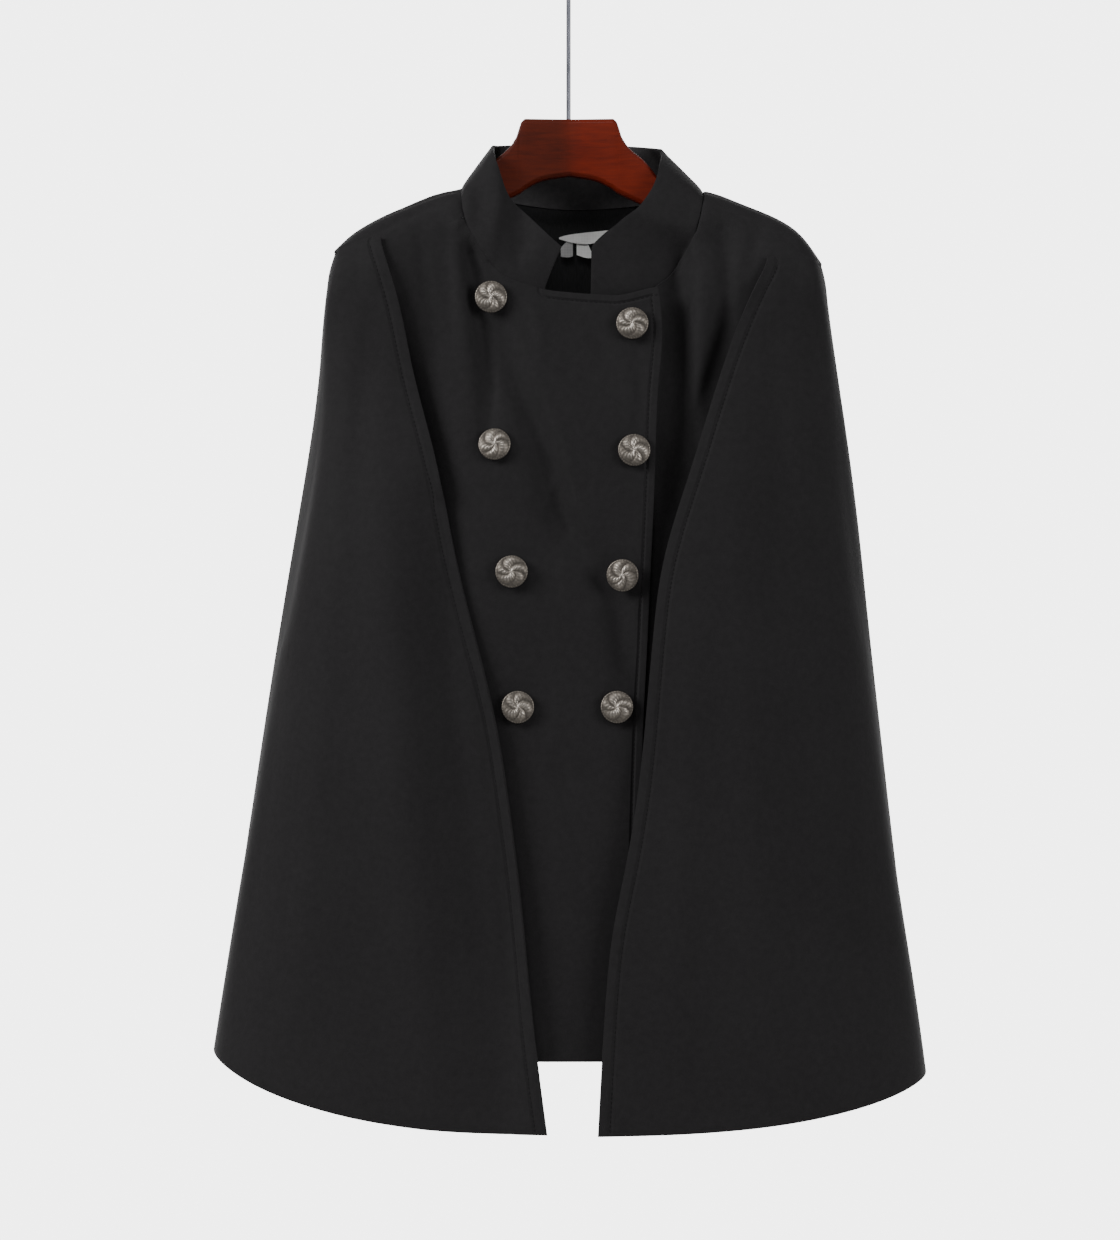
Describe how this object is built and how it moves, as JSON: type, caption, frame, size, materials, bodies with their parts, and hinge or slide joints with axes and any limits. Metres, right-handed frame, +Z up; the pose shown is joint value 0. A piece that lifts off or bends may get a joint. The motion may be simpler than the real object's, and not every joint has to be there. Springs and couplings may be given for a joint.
{
  "type": "double-breasted poncho on a hanger",
  "caption": "Black double-breasted cape coat with a stand collar, free-hanging cape panels over the arms and domed metal buttons, on a contoured wooden hanger with a wire hook.",
  "frame": {"origin": "inside top of the hanger's hook, where the rail carries it", "axes": "+Z up, the front of the coat faces -Y, +X is the wearer's left and the viewer's right"},
  "size_m": [0.5707, 0.1784, 0.9596],
  "materials": {
    "black_wool": "smooth dense coating wool, short nap",
    "antique_silver": "cast metal, darkened in the hollows",
    "red_brown_wood": "stained and lacquered",
    "dark_steel": "dark plated wire",
    "white_label": "blank woven tape"
  },
  "bodies": {
    "root": {"back": "black_wool", "button_left_1": "antique_silver", "button_left_2": "antique_silver", "button_left_3": "antique_silver", "button_left_4": "antique_silver", "button_right_1": "antique_silver", "button_right_2": "antique_silver", "button_right_3": "antique_silver", "button_right_4": "antique_silver", "cape_left": "black_wool", "cape_right": "black_wool", "collar": "black_wool", "front_left": "black_wool", "front_right": "black_wool", "hanger_hook": "dark_steel", "hanger_wood": "red_brown_wood", "neck_label": "white_label", "size_tab": "white_label"}
  },
  "joints": []
}
